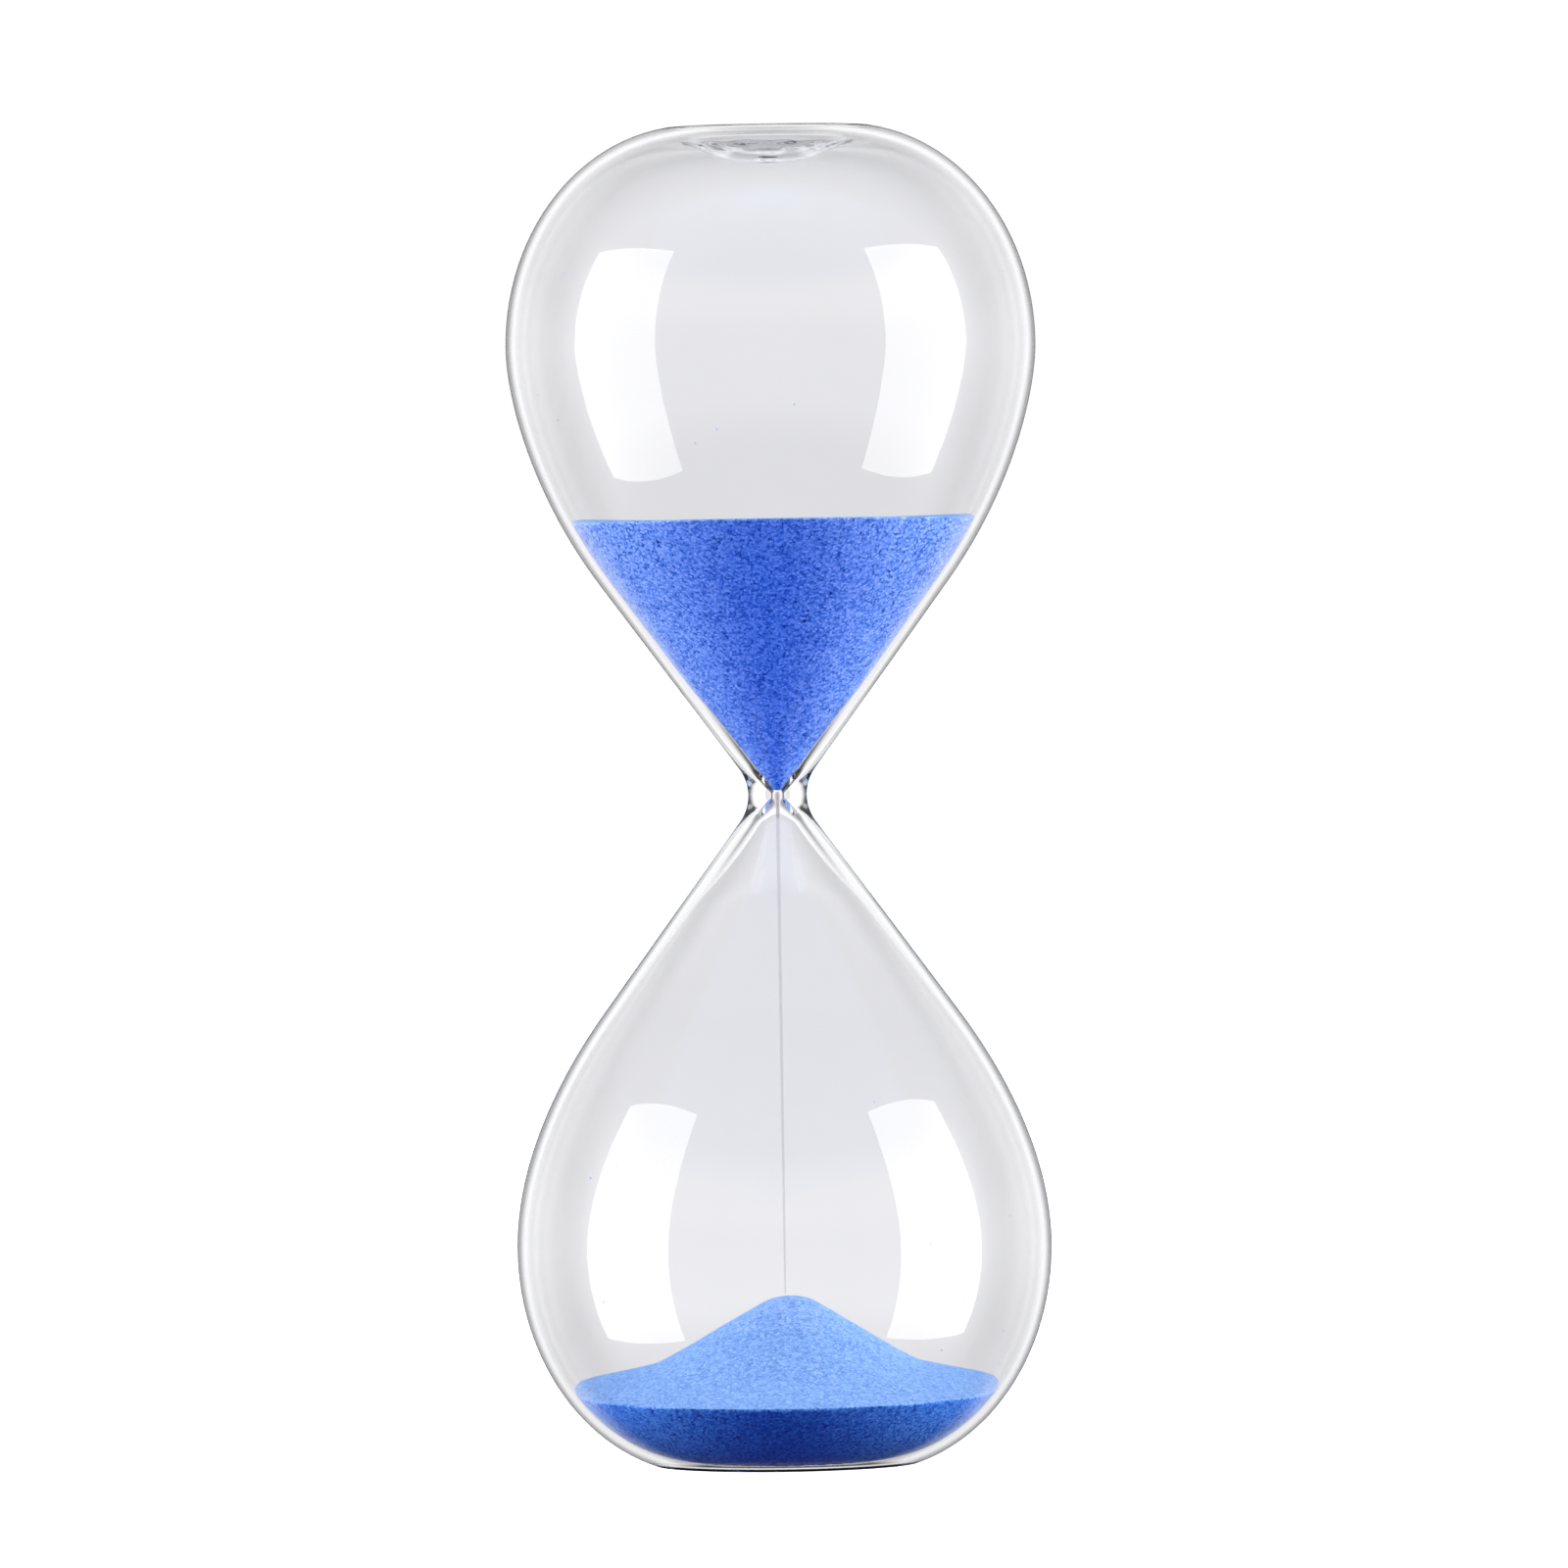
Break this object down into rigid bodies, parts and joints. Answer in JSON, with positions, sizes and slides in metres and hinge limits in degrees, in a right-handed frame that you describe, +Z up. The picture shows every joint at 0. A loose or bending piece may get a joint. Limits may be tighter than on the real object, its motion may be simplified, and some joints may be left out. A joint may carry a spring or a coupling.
{
  "type": "hourglass",
  "caption": "Frameless blown-glass hourglass: pear-shaped bulbs joined at a narrow throat, flat pushed-in ends, blue sand partly run through.",
  "frame": {"origin": "on the axis of the glass, at the flat standing ring of the lower bulb", "axes": "+Z up along the axis of the glass; the glass is a solid of revolution, so +X and +Y are free, and -Y faces the viewer"},
  "size_m": [0.064, 0.064, 0.16],
  "materials": {
    "bulb_glass": "clear, fire-polished",
    "neck_glass": "clear, thick drawn glass",
    "blue_sand": "fine dyed sand, matt"
  },
  "bodies": {
    "root": {"lower_bulb": "bulb_glass", "upper_bulb": "bulb_glass", "neck": "neck_glass", "lower_seal_disc": "bulb_glass", "upper_seal_disc": "bulb_glass", "upper_sand": "blue_sand", "falling_sand": "blue_sand", "lower_sand": "blue_sand"}
  },
  "joints": []
}
